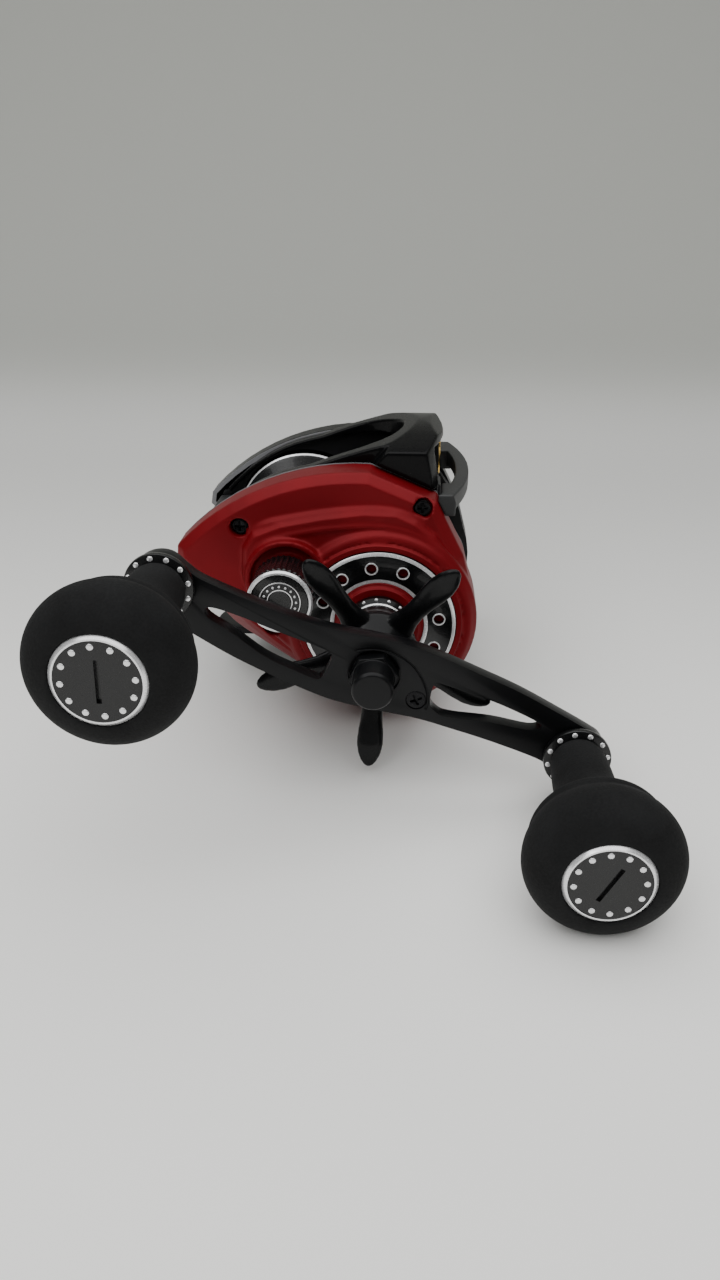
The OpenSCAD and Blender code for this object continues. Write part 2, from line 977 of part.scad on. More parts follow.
module clutch_yoke() {
    color(brass)
        at_spool()
            rotate([spool_angle - 90, 0, 0])
                difference() {
                    slab(17.3, 18.4)
                        difference() {
                            union() {
                                for (side = [-1, 1])
                                    translate([7 * side, 0])
                                        circle(r = 2);
                                translate([-7, 0])
                                    square([14, 4.4]);
                            }
                            circle(r = 2.3);
                            translate([-2.3, -6])
                                square([4.6, 6]);
                        }
                    for (side = [-1, 1])
                        at(7 * side, 0)
                            bar(16, 20, 0.9 + fit);
                }
}

// Knurled barrel that screws over the cover's neck
module tension_knob() {
    color(black)
        at_spool()
            difference() {
                union() {
                    spun([[0, 32.4], [6.8, 32.4], [7, 32.8], [7, 42], [7.35, 42.6],
                        [7.35, 42.9], [7, 43.5], [0, 43.5]]);
                    for (i = [0:35])
                        rotate([i * 10, 0, 0])
                            translate([33.2, 6.8, -0.3])
                                cube([8.6, 0.5, 0.6]);
                }
                bar(28, 37, neck_r + fit);
                bar(42.9, 44, 6.3);
            }
}

// Plain face disc with two rings
module tension_face() {
    color(dark_grey)
        at_spool()
            spun([[0, 42.9], [6.3, 42.9], [6.3, 43.3], [4.6, 43.3], [4.6, 43.1], [4.2, 43.1],
                [4.2, 43.3], [0, 43.3]]);
}

module brake_dial() {
    color(dark_grey)
        mirror([1, 0, 0])
            at_spool()
                difference() {
                    union() {
                        spun([[0, 26.3], [9, 26.3], [9, 28.6], [8.4, 29.2], [0, 29.2]]);
                        bar(24.2, 27, 2.5);
                    }
                    for (i = [0:17])
                        rotate([i * 20, 0, 0])
                            at(9.5, 0)
                                bar(27.6, 30, 0.9);
                    translate([28.2, -5.5, -0.8])
                        cube([2, 11, 1.6]);
                }
}

// Ring of eight magnets
magnet_ring_r = 6.5;
magnet_r = 1;

module magnet_carrier() {
    color(dark_grey)
        mirror([1, 0, 0])
            at_spool()
                difference() {
                    bar(19.6, 21, 8);
                    bar(19, 22, 5 + fit);
                    for (i = [0:7])
                        rotate([i * 45, 0, 0])
                            at(magnet_ring_r, 0)
                                bar(19, 22, magnet_r);
                }
}

module brake_magnets() {
    color(silver)
        mirror([1, 0, 0])
            at_spool()
                for (i = [0:7])
                    rotate([i * 45, 0, 0])
                        at(magnet_ring_r, 0)
                            bar(19.4, 21, magnet_r);
}

module idler_gear() {
    color(brass)
        at(idler_y, idler_z)
            difference() {
                slab(guide_gear_x[0], guide_gear_x[1])
                    gear_outline(idler_teeth, guide_module, idler_phase);
                bar(17, 20, 1.5 + fit);
            }
}

module worm_shaft() {
    color(silver)
        at(worm_y, worm_z) {
            difference() {
                bar(-14.6, 14.6, 2.5);
                for (i = [-4:4])
                    translate([i * 3, 0, 0])
                        tube(-0.5, 0.5, 3, 2.1);
            }
            bar(-17.2, 19.4, 1.5);
        }
}

module worm_gear() {
    color(brass)
        at(worm_y, worm_z)
            difference() {
                slab(guide_gear_x[0], guide_gear_x[1])
                    gear_outline(worm_teeth, guide_module, worm_phase);
                bar(17, 20, 1.5);
            }
}

// Outer radius, lower centre and height of the line guide's eye
eye_r = 3.4;
eye_z = 43.6;
eye_h = 4;

module guide_carriage() {
    color(black)
        translate([guide_rest_x, 0, 0])
            difference() {
                union() {
                    at(worm_y, worm_z)
                        bar(-4.4, 4.4, 4);
                    slab(-4.4, 4.4)
                        polygon([[17, 35.4], [21.8, 39], [21.8, 51.2], [25.2, 51.2],
                            [25.2, 39], [26, 38.2], [26, 35], [23.6, 31.4]]);
                }
                at(worm_y, worm_z) {
                    bar(-5, 5, 2.5 + fit);
                    // socket of the pawl
                    translate([0, 0, -5])
                        cylinder(r = 1.5, h = 5);
                }
                at(rail_y, rail_z)
                    bar(-5, 5, 1.3 + fit);
                // seat of the insert
                eye(18, 30, eye_r);
            }
}

// Slot with round ends that the line runs through, as a bar along Y
module eye(y0, y1, r) {
    translate([0, y1, 0])
        rotate([90, 0, 0])
            linear_extrude(y1 - y0) {
                for (z = [eye_z, eye_z + eye_h])
                    translate([0, z])
                        circle(r = r);
                translate([-r, eye_z])
                    square([2 * r, eye_h]);
            }
}

// Gold ring that the line runs through
module guide_insert() {
    color(brass)
        translate([guide_rest_x, 0, 0])
            difference() {
                eye(21.6, 25.6, eye_r);
                eye(18, 30, eye_r - 0.8);
            }
}

module pawl() {
    color(silver)
        translate([guide_rest_x, worm_y, worm_z - 3.8])
            cylinder(r = 1.4, h = 1.2);
}

module pawl_cap() {
    color(brass)
        translate([guide_rest_x, worm_y, worm_z - 5.4]) {
            cylinder(r = 2.4, h = 1.2);
            cylinder(r = 1.4, h = 1.6);
        }
}

module thumb_bar() {
    color(black) {
        slab(-14.6, 14.6)
            polygon([[-33, 27.6], [-33.4, 29.2], [-32.4, 30.7], [-29.4, 30.9], [-28.4, 30.2],
                [-28.4, 28.4], [-29, 27.6]]);
        slab(-wall_x + 0.2, wall_x - 0.2)
            polygon([[-29.6, 27.8], [-29.6, 30.2], [-28.4, 30.2], [-28.4, 28.4], [-29, 27.8]]);
    }
}

frame();
reel_foot();
foot_screws();
hood();
front_bar();
handle_side_cover();
cover_gasket();
cover_screws();
trim_ring();
palm_side_cover();
palm_screws();
guide_rail();
worm_bushes();
shaft_bearing();
anti_reverse_bearing();
pinion_bearing();
spool_bearings();
yoke_springs();
drive_shaft();
drive_gear();
drag_washers();
pressure_plate();
drag_springs();
anti_reverse_sleeve();
guide_drive_gear();
handle_arm();
handle_nut();
nut_lock_screw();
knob_spindles();
star_drag();
star_nut();
rear_knob_sleeve();
rear_knob_grip();
rear_knob_cap();
rear_knob_bearings();
front_knob_sleeve();
front_knob_grip();
front_knob_cap();
front_knob_bearings();
spool();
spool_shaft();
brake_rotor();
pinion_gear();
clutch_yoke();
tension_knob();
tension_face();
brake_dial();
magnet_carrier();
brake_magnets();
idler_gear();
worm_shaft();
worm_gear();
guide_carriage();
guide_insert();
pawl();
pawl_cap();
thumb_bar();
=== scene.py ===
# Low-profile baitcasting reel with a crimson side cover, a gloss black hood and a power handle.
# It lies tipped over on pale paper, as it would be put down on a bench.
import json
import math

import bmesh
import bpy
from mathutils import Matrix, Vector


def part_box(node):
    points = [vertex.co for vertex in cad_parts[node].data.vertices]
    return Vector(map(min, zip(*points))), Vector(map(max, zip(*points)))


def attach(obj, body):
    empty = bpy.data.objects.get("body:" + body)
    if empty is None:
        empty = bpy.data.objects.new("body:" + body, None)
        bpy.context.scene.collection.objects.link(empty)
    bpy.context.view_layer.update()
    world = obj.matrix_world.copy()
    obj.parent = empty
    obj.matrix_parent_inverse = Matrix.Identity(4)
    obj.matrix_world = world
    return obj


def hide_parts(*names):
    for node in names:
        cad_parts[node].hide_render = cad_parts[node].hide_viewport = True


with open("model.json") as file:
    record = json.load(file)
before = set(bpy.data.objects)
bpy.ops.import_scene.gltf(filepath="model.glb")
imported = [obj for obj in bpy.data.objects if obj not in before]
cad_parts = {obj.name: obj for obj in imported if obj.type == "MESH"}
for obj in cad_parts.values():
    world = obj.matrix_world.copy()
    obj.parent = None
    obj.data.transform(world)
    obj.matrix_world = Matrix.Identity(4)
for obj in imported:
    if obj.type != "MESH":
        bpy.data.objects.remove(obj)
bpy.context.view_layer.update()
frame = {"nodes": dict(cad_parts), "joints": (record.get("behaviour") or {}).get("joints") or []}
nodes = frame["nodes"]
MM = 0.001
axes = {j["name"]: Vector(j["pos_m"]) for j in frame["joints"] if j.get("pos_m")}
handle_axis = axes["handle_turn"]
spool_axis = axes["spool_spin"]
knob_axes = {"rear": axes["rear_knob_spin"], "front": axes["front_knob_spin"]}

# The camera looks down at the knobs' side of the reel, a little from in front of it, with a wide
# lens from close by.
camera_down_deg, camera_aside_deg = 25.43, 3.31
bpy.ops.object.select_all(action="DESELECT")
bpy.ops.object.camera_add(location=(0.237, 0.0195, 0.1082))
camera = bpy.context.object
camera.rotation_euler = (
    math.radians(90 - camera_down_deg), 0, math.radians(90 + camera_aside_deg))
camera.data.lens = 27.42
camera.data.clip_start = 0.005
camera.data.clip_end = 50
bpy.context.scene.camera = camera

# Pale grey paper that the reel lies on: it rests on the palm cover's lower edge and the front
# knob, so the paper slopes in the reel's own frame. Behind the reel it curves up. Its colour is
# painted darker towards the back as painted shade, and lighter near the front as painted light.
knob_low, knob_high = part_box("front_knob_grip")
palm_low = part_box("palm_side_cover")[0]
palm_edge_in, knob_widest_in = 2.8 * MM, 7 * MM
rest_palm = Vector((palm_low.x + palm_edge_in, 0, palm_low.z))
rest_knob = Vector((knob_high.x - knob_widest_in, 0, knob_low.z))
slope = math.atan2(rest_palm.z - rest_knob.z, rest_knob.x - rest_palm.x)
sweep_start, sweep_r, sweep_steps, paper_size = -0.247, 0.3, 24, 6
bpy.ops.mesh.primitive_plane_add(
    size=paper_size, location=(sweep_start + paper_size / 2, 0, 0))
paper = bpy.context.object
paper.name = "paper"
bpy.ops.object.transform_apply(location=True, rotation=True, scale=True)
bpy.ops.object.mode_set(mode="EDIT")
bpy.ops.mesh.select_all(action="DESELECT")
back_edge = bmesh.from_edit_mesh(paper.data)
for edge in back_edge.edges:
    edge.select_set(all(vert.co.x < sweep_start + MM for vert in edge.verts))
bmesh.update_edit_mesh(paper.data)
for step in range(1, sweep_steps + 1):
    a, b = (math.radians(90 * k / sweep_steps) for k in (step - 1, step))
    bpy.ops.mesh.extrude_edges_move(TRANSFORM_OT_translate={"value": (
        sweep_r * (math.sin(a) - math.sin(b)), 0, sweep_r * (math.cos(a) - math.cos(b)))})
bpy.ops.mesh.extrude_edges_move(TRANSFORM_OT_translate={"value": (0, 0, sweep_r)})
bpy.ops.object.mode_set(mode="OBJECT")
bpy.ops.object.shade_smooth()
paper.data.transform(Matrix.Translation(rest_palm) @ Matrix.Rotation(slope, 4, "Y"))

# Painted shade and painted light: the paper's colour runs from dark grey at the back to near white
# at the front.
paper_painted_shade_far, paper_painted_shade_mid, paper_painted_light_near = (0.36, 0.365, 0.34), (0.54, 0.54, 0.525), (0.97, 0.965, 0.94)
shade_from, shade_to = -0.36, 0.12
paper_with_painted_shade = bpy.data.materials.new("pale_paper_painted_shade")
paper_with_painted_shade.use_nodes = True
tree = paper_with_painted_shade.node_tree
shader = tree.nodes["Principled BSDF"]
shader.inputs["Roughness"].default_value = 0.75
shader.inputs["Specular IOR Level"].default_value = 0.25
place = tree.nodes.new("ShaderNodeTexCoord")
split = tree.nodes.new("ShaderNodeSeparateXYZ")
# This ramp paints shade and light into the paper's colour, darker towards the back along X.
shade = tree.nodes.new("ShaderNodeValToRGB")
reach = tree.nodes.new("ShaderNodeMapRange")
reach.inputs["From Min"].default_value = shade_from
reach.inputs["From Max"].default_value = shade_to
shade.color_ramp.interpolation = "EASE"
shade.color_ramp.elements[0].position = 0.05
shade.color_ramp.elements[0].color = (*paper_painted_shade_far, 1)
shade.color_ramp.elements[1].position = 1.0
shade.color_ramp.elements[1].color = (*paper_painted_light_near, 1)
middle = shade.color_ramp.elements.new(0.42)
middle.color = (*paper_painted_shade_mid, 1)
tree.links.new(place.outputs["Object"], split.inputs[0])
tree.links.new(split.outputs["X"], reach.inputs["Value"])
tree.links.new(reach.outputs[0], shade.inputs[0])
tree.links.new(shade.outputs[0], shader.inputs["Base Color"])
fibre = tree.nodes.new("ShaderNodeTexNoise")
fibre.inputs["Scale"].default_value = 900
fibre.inputs["Detail"].default_value = 4
relief = tree.nodes.new("ShaderNodeBump")
relief.inputs["Strength"].default_value = 0.06
relief.inputs["Distance"].default_value = 0.0002
tree.links.new(place.outputs["Object"], fibre.inputs["Vector"])
tree.links.new(fibre.outputs["Fac"], relief.inputs["Height"])
tree.links.new(relief.outputs[0], shader.inputs["Normal"])
paper.data.materials.append(paper_with_painted_shade)

# Soft light: a wide lamp overhead, a weaker one from the handle's side, and pale surroundings.
world = bpy.data.worlds.new("surroundings")
bpy.context.scene.world = world
world.use_nodes = True
world.node_tree.nodes["Background"].inputs["Color"].default_value = (0.62, 0.63, 0.62, 1)
world.node_tree.nodes["Background"].inputs["Strength"].default_value = 0.2
for name, spot, aim, size, power in [
    ("overhead_lamp", (0.3, -0.05, 0.85), (0.28, -0.05, 0.0), 1.6, 17.0),
    ("side_lamp", (0.75, -0.45, 0.55), (0.05, 0.0, 0.0), 0.4, 1.2),
]:
    bpy.ops.object.light_add(type="AREA", location=spot)
    lamp = bpy.context.object
    lamp.name = name
    lamp.data.size = size
    lamp.data.energy = power
    lamp.rotation_euler = (Vector(aim) - Vector(spot)).to_track_quat("-Z", "Y").to_euler()

# Hood: die-cast rim over the spool, with a round-ended thumb window, sprayed gloss black under
# a clear coat. It is cast in one with the cheeks that close the front corners.


def finish(name, colour, metallic, rough, spread, grain_mm, bump, coat=0.0, drift=0.12,
           specular=0.5):
    """A surface whose tone and roughness wander slightly, with grain_mm wide relief on it."""
    mat = bpy.data.materials.new(name)
    mat.use_nodes = True
    tree = mat.node_tree
    shader = tree.nodes["Principled BSDF"]
    shader.inputs["Metallic"].default_value = metallic
    shader.inputs["Specular IOR Level"].default_value = specular
    shader.inputs["Coat Weight"].default_value = coat
    shader.inputs["Coat Roughness"].default_value = 0.04
    place = tree.nodes.new("ShaderNodeTexCoord")
    cloud = tree.nodes.new("ShaderNodeTexNoise")
    cloud.inputs["Scale"].default_value = 120
    cloud.inputs["Detail"].default_value = 3
    grain = tree.nodes.new("ShaderNodeTexNoise")
    grain.inputs["Scale"].default_value = 1 / (grain_mm * MM)
    grain.inputs["Detail"].default_value = 2
    tone = tree.nodes.new("ShaderNodeValToRGB")
    tone.color_ramp.elements[0].position = 0.3
    tone.color_ramp.elements[1].position = 0.7
    tone.color_ramp.elements[0].color = [c * (1 - drift) for c in colour] + [1]
    tone.color_ramp.elements[1].color = [min(c * (1 + drift), 1) for c in colour] + [1]
    matt = tree.nodes.new("ShaderNodeMapRange")
    matt.inputs["From Min"].default_value = 0.3
    matt.inputs["From Max"].default_value = 0.7
    matt.inputs["To Min"].default_value = max(rough - spread, 0.02)
    matt.inputs["To Max"].default_value = rough + spread
    relief = tree.nodes.new("ShaderNodeBump")
    relief.inputs["Strength"].default_value = bump
    relief.inputs["Distance"].default_value = grain_mm * MM * 0.3
    for noise in (cloud, grain):
        tree.links.new(place.outputs["Object"], noise.inputs["Vector"])
    tree.links.new(cloud.outputs["Fac"], tone.inputs[0])
    tree.links.new(grain.outputs["Fac"], matt.inputs["Value"])
    tree.links.new(grain.outputs["Fac"], relief.inputs["Height"])
    tree.links.new(tone.outputs[0], shader.inputs["Base Color"])
    tree.links.new(matt.outputs[0], shader.inputs["Roughness"])
    tree.links.new(relief.outputs[0], shader.inputs["Normal"])
    return mat


def bench_copy(node, name):
    """A copy of a CAD part with its triangles' corners merged, alone in the selection."""
    bpy.ops.object.select_all(action="DESELECT")
    piece = bpy.data.objects.new(name, nodes[node].data.copy())
    bpy.context.collection.objects.link(piece)
    piece.select_set(True)
    bpy.context.view_layer.objects.active = piece
    piece.data.materials.clear()
    bpy.ops.object.mode_set(mode="EDIT")
    bpy.ops.mesh.select_all(action="SELECT")
    bpy.ops.mesh.remove_doubles(threshold=0.002 * MM)
    bpy.ops.object.mode_set(mode="OBJECT")
    if piece.data.has_custom_normals:
        bpy.ops.mesh.customdata_custom_splitnormals_clear()
    return piece


def apply_all(piece):
    """Applies the piece's modifiers in order."""
    bpy.ops.object.select_all(action="DESELECT")
    piece.select_set(True)
    bpy.context.view_layer.objects.active = piece
    for modifier in list(piece.modifiers):
        bpy.ops.object.modifier_apply(modifier=modifier.name)


def soften(piece, voxel_mm, passes):
    """Runs all edges and joints of a casting or moulding together, as paint and tooling do."""
    fine = piece.modifiers.new("skin", "REMESH")
    fine.mode = "VOXEL"
    fine.voxel_size = voxel_mm * MM
    rub = piece.modifiers.new("rub", "SMOOTH")
    rub.factor = 0.5
    rub.iterations = passes
    apply_all(piece)
    bpy.ops.object.shade_smooth()


def fit(piece, finish_used, body, slot, *stands_for):
    """Gives a finished piece its surface, the body it rides on and the parts it stands for."""
    if not piece.data.materials:
        piece.data.materials.append(finish_used)
    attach(piece, body)
    if stands_for:
        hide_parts(*stands_for)


gloss_black = finish("gloss_black_paint", (0.003, 0.003, 0.0033), 0.0, 0.3, 0.04, 0.5, 0.012, 0.1,
                     specular=0.06)
hood = bench_copy("hood", "hood_casting")
soften(hood, 0.28, 10)
fit(hood, gloss_black, "frame", "gloss_black", "hood")

# Handle-side cover: pressure-cast gear case lid with a raised shoulder, two swept ridges and a
# turned seat for the trim ring, painted a deep satin metallic crimson.


def swept_ridge(name, points, x_mm, radius_mm):
    """A round bead along (y, z) points in mm, laid on the cover's face."""
    curve = bpy.data.curves.new(name, "CURVE")
    curve.dimensions = "3D"
    line = curve.splines.new("NURBS")
    line.points.add(len(points) - 1)
    for knot, (y, z, lift) in zip(line.points, points):
        knot.co = ((x_mm + lift) * MM, y * MM, z * MM, 1)
    line.order_u = 4
    line.use_endpoint_u = True
    curve.resolution_u = 8
    curve.bevel_depth = radius_mm * MM
    curve.bevel_resolution = 4
    curve.use_fill_caps = True
    bead = bpy.data.objects.new(name, curve)
    bpy.context.collection.objects.link(bead)
    bpy.ops.object.select_all(action="DESELECT")
    bead.select_set(True)
    bpy.context.view_layer.objects.active = bead
    bpy.ops.object.convert(target="MESH")
    return bpy.context.object


def join_into(piece, extras):
    """Joins the extras into the piece, which stays the active object."""
    bpy.ops.object.select_all(action="DESELECT")
    for extra in extras:
        extra.select_set(True)
    piece.select_set(True)
    bpy.context.view_layer.objects.active = piece
    bpy.ops.object.join()


def turned(name, profile, axis, facets=96, closed=False):
    """A piece turned about the X axis through axis, from a profile of (x, radius) in mm."""
    bpy.ops.object.select_all(action="DESELECT")
    x, radius = profile[0]
    bpy.ops.mesh.primitive_circle_add(
        vertices=facets,
        radius=radius * MM,
        location=(x * MM, axis.y, axis.z),
        rotation=(0, math.pi / 2, 0),
    )
    piece = bpy.context.object
    piece.name = name
    bpy.ops.object.transform_apply(location=True, rotation=True, scale=True)
    bpy.ops.object.mode_set(mode="EDIT")
    bpy.ops.mesh.select_all(action="SELECT")
    if not closed:
        bpy.ops.mesh.edge_face_add()
    for (x0, r0), (x1, r1) in zip(profile, profile[1:]):
        bpy.ops.mesh.extrude_region_move(TRANSFORM_OT_translate={"value": ((x1 - x0) * MM, 0, 0)})
        bpy.ops.transform.resize(
            value=(1, r1 / r0, r1 / r0), center_override=(x1 * MM, axis.y, axis.z)
        )
    bpy.ops.mesh.select_all(action="SELECT")
    bpy.ops.mesh.remove_doubles(threshold=0.001 * MM)
    bpy.ops.mesh.normals_make_consistent(inside=False)
    bpy.ops.object.mode_set(mode="OBJECT")
    return piece


crimson = finish("crimson_paint", (0.17, 0.002, 0.0055), 0.3, 0.46, 0.05, 0.12, 0.05, drift=0.08,
                 specular=0.2)
cover = bench_copy("handle_side_cover", "handle_side_casting")
upper_ridge = [(-18.4, 34.4, -1.2), (-16.6, 35.5, -0.5), (-14.3, 36.7, 0), (-10.9, 37.6, 0),
               (-6.9, 38.4, 0), (-1.1, 39.5, 0), (5.4, 40.3, 0), (10, 40.6, 0), (14.5, 40.4, 0),
               (18.5, 39.5, -0.2), (22, 37.9, -0.8), (24.6, 35.4, -1.4)]
lower_ridge = [(-18.6, 28.9, -0.9), (-17.0, 31.9, 0), (-12.6, 34.1, 0), (-6.1, 35.4, 0),
               (-1.2, 36.4, 0), (5.4, 37.1, 0), (10, 37.4, 0), (15, 37.0, 0), (20.1, 35.5, 0),
               (24.6, 32.8, 0), (28.2, 29.2, 0), (30.4, 25.6, -0.4)]
join_into(cover, [swept_ridge("upper_ridge", upper_ridge, 27.2, 1.15),
                  swept_ridge("lower_ridge", lower_ridge, 28.4, 1.2)])
soften(cover, 0.36, 5)
seat = turned("trim_seat", [
    (28.6, 22.25), (29.0, 22.2), (30.35, 21.0), (30.5, 20.75), (30.5, 19.95), (30.15, 19.75),
    (30.15, 19.35), (31.1, 19.2), (31.3, 19.0), (31.3, 17.95), (31.15, 17.85), (30.25, 17.85),
    (30.25, 10.35), (31.6, 10.35), (31.8, 10.15), (31.8, 9.4), (32.0, 9.2), (32.5, 9.2),
    (32.6, 9.1), (32.6, 7.9)], handle_axis, 128)
join_into(cover, [seat])
bpy.ops.object.shade_smooth_by_angle(angle=math.radians(40))
fit(cover, crimson, "frame", "crimson", "handle_side_cover")

# Trim ring: black anodised aluminium with twelve holes on one circle. Both rims and the edges of
# the holes are cut bright after anodising, and the crimson seat shows through the holes.


def bevel(piece, width_mm, segments=2, angle=35):
    """Breaks a piece's sharp edges, as tumbling or a deburring cut does."""
    edge = piece.modifiers.new("broken_edge", "BEVEL")
    edge.width = width_mm * MM
    edge.segments = segments
    edge.limit_method = "ANGLE"
    edge.angle_limit = math.radians(angle)
    apply_all(piece)
    bpy.ops.object.shade_smooth_by_angle(angle=math.radians(32))


def cut(piece, tool):
    """Takes the tool's shape out of the piece."""
    knife = piece.modifiers.new("cut", "BOOLEAN")
    knife.operation = "DIFFERENCE"
    knife.solver = "EXACT"
    knife.object = tool
    apply_all(piece)
    bpy.data.objects.remove(tool)


def copies_round(piece, axis, count, start_deg=0.0):
    """Copies a piece round the X axis through axis and joins the copies into it."""
    extras = []
    for i in range(1, count):
        extra = piece.copy()
        extra.data = piece.data.copy()
        bpy.context.collection.objects.link(extra)
        extras.append(extra)
    centre = Matrix.Translation((0, axis.y, axis.z))
    for i, one in enumerate([piece] + extras):
        turn = Matrix.Rotation(math.radians(start_deg + i * 360 / count), 4, "X")
        one.data.transform(centre @ turn @ centre.inverted())
    join_into(piece, extras)


def turning_lines(mat, axis, pitch_mm, depth):
    """Adds fine concentric tool marks about the X axis through axis to a finish."""
    tree = mat.node_tree
    place = tree.nodes.new("ShaderNodeTexCoord")
    centre = tree.nodes.new("ShaderNodeMapping")
    centre.inputs["Location"].default_value = (0, -axis.y, -axis.z)
    rings = tree.nodes.new("ShaderNodeTexWave")
    rings.wave_type = "RINGS"
    rings.rings_direction = "X"
    rings.inputs["Scale"].default_value = 0.314 / (pitch_mm * MM)
    rings.inputs["Distortion"].default_value = 0.6
    marks = tree.nodes.new("ShaderNodeBump")
    marks.inputs["Strength"].default_value = depth
    marks.inputs["Distance"].default_value = 0.02 * MM
    tree.links.new(place.outputs["Object"], centre.inputs[0])
    tree.links.new(centre.outputs[0], rings.inputs["Vector"])
    tree.links.new(rings.outputs["Fac"], marks.inputs["Height"])
    shader = tree.nodes["Principled BSDF"]
    old = shader.inputs["Normal"].links[0].from_socket
    tree.links.new(old, marks.inputs["Normal"])
    tree.links.new(marks.outputs[0], shader.inputs["Normal"])
    return mat


def off_axis(point, axis):
    """Distance of a point from the X axis through axis, in mm."""
    return math.hypot(point.y - axis.y, point.z - axis.z) / MM


def paint_faces(piece, mat, wanted):
    """Gives the faces that wanted picks a second finish."""
    piece.data.materials.append(mat)
    slot = len(piece.data.materials) - 1
    for face in piece.data.polygons:
        if wanted(face):
            face.material_index = slot


bright_cut = finish("bright_cut_aluminium", (0.9, 0.9, 0.91), 0.55, 0.24, 0.05, 0.3, 0.02,
                    drift=0.04)
ring_black = turning_lines(
    finish("ring_anodising", (0.004, 0.0042, 0.0047), 0.3, 0.2, 0.05, 0.3, 0.02, 0.3),
    handle_axis, 0.12, 0.25)
ring = turned("trim_ring_disc", [
    (30.3, 10.42), (31.7, 10.42), (32.0, 11.3), (32.0, 16.9), (31.6, 17.68), (30.3, 17.68),
    (30.3, 10.42)], handle_axis, 144, closed=True)
hole_ring_r, hole_count, first_hole_deg = 13.9, 12, 7.4
ring_flat_in, ring_flat_out = 11.25, 16.95
first_hole = Vector((0, handle_axis.y + hole_ring_r * MM, handle_axis.z))
drill = turned("drill", [(29, 1.2), (33, 1.2)], first_hole, 28)
copies_round(drill, handle_axis, hole_count, first_hole_deg)
cut(ring, drill)
ring.data.materials.append(ring_black)
paint_faces(ring, bright_cut, lambda f: 0.2 < f.normal.x < 0.95
            and not ring_flat_in < off_axis(f.center, handle_axis) < ring_flat_out)
bpy.ops.object.shade_smooth_by_angle(angle=math.radians(30))
fit(ring, ring_black, "frame", "gloss_ring", "trim_ring")
hole_rims = turned("trim_ring_hole_rims", [
    (31.6, 1.2), (32.06, 1.2), (32.1, 1.26), (32.1, 1.42), (32.04, 1.5), (31.9, 1.5), (31.6, 1.2)],
    first_hole, 28, closed=True)
copies_round(hole_rims, handle_axis, hole_count, first_hole_deg)
bpy.ops.object.shade_smooth_by_angle(angle=math.radians(40))
fit(hole_rims, bright_cut, "frame", "gloss_ring")

# Frame: one aluminium casting of two side walls, the floor over the foot, the palm rest and the
# bar under the line guide, with a satin black finish. The foot is a black anodised forging.


def surface(mat, *names):
    """Gives CAD parts whose shape is right their real surface."""
    for name in names:
        nodes[name].data.materials.clear()
        nodes[name].data.materials.append(mat)


frame_black = finish("frame_paint", (0.007, 0.007, 0.008), 0.2, 0.38, 0.06, 0.25, 0.05)
surface(frame_black, "frame")
satin_anodised = finish("satin_anodising", (0.0045, 0.0047, 0.0053), 0.2, 0.34, 0.05, 0.09, 0.05,
                        specular=0.25)
foot = bench_copy("reel_foot", "foot_forging")
soften(foot, 0.35, 6)
fit(foot, satin_anodised, "frame", "black_anodised", "reel_foot")

# Gasket: grey compressed fibre between the frame and the covers, with its edge just showing.
gasket_grey = finish("gasket_edge", (0.2, 0.2, 0.21), 0.0, 0.6, 0.08, 0.15, 0.1)
surface(gasket_grey, "cover_gasket")

# Cover screws: black oxide cap screws with a cross recess, three to a side, and the two steel
# screws that hold the foot.


def cleaned_copy(node, name, edge_mm, segments=2, angle=35):
    """A copy of a CAD part with flat faces made whole and its edges broken."""
    piece = bench_copy(node, name)
    bpy.ops.object.mode_set(mode="EDIT")
    bpy.ops.mesh.select_all(action="SELECT")
    bpy.ops.mesh.dissolve_limited(angle_limit=math.radians(0.5))
    bpy.ops.object.mode_set(mode="OBJECT")
    bevel(piece, edge_mm, segments, angle)
    return piece


black_oxide = finish("black_oxide", (0.01, 0.01, 0.011), 0.8, 0.3, 0.08, 0.12, 0.08)
steel = finish("machined_steel", (0.58, 0.58, 0.6), 1.0, 0.26, 0.07, 0.15, 0.05, drift=0.05)
for node in ("cover_screws", "palm_screws"):
    fit(cleaned_copy(node, node + "_turned", 0.12), black_oxide, "frame", "black_screw", node)
fit(cleaned_copy("foot_screws", "foot_screws_turned", 0.12), steel, "frame", "steel",
    "foot_screws")

# Front bar: matt dark grey moulded bar bowed across the front, below the line's way out.
bar_grey = finish("front_bar_moulding", (0.016, 0.0165, 0.017), 0.0, 0.5, 0.07, 0.16, 0.14)
front_bar = bench_copy("front_bar", "front_bar_moulding")
soften(front_bar, 0.3, 6)
fit(front_bar, bar_grey, "frame", "bar_grey", "front_bar")

# Palm-side cover: smooth cast lid shaped for the palm, sprayed gloss black like the hood.
palm = bench_copy("palm_side_cover", "palm_side_casting")
soften(palm, 0.4, 8)
fit(palm, gloss_black, "frame", "gloss_black", "palm_side_cover")

# Brake dial and what it moves: a fluted black anodised dial in the palm cover, and behind it a
# moulded carrier with eight nickel-plated magnets.
fit(cleaned_copy("brake_dial", "brake_dial_turned", 0.25), satin_anodised, "dial",
    "black_anodised", "brake_dial")
moulded_black = finish("moulded_resin", (0.009, 0.009, 0.01), 0.0, 0.42, 0.08, 0.2, 0.1)
nickel = finish("nickel_plate", (0.72, 0.71, 0.69), 1.0, 0.14, 0.05, 0.3, 0.03, drift=0.04)
surface(moulded_black, "magnet_carrier")
surface(nickel, "brake_magnets")

# Thumb bar: moulded resin bar across the back of the frame that frees the spool when pressed,
# with five grip ribs along its top.
thumb = bench_copy("thumb_bar", "thumb_bar_moulding")
soften(thumb, 0.25, 5)
fit(thumb, moulded_black, "thumb", "black_resin", "thumb_bar")

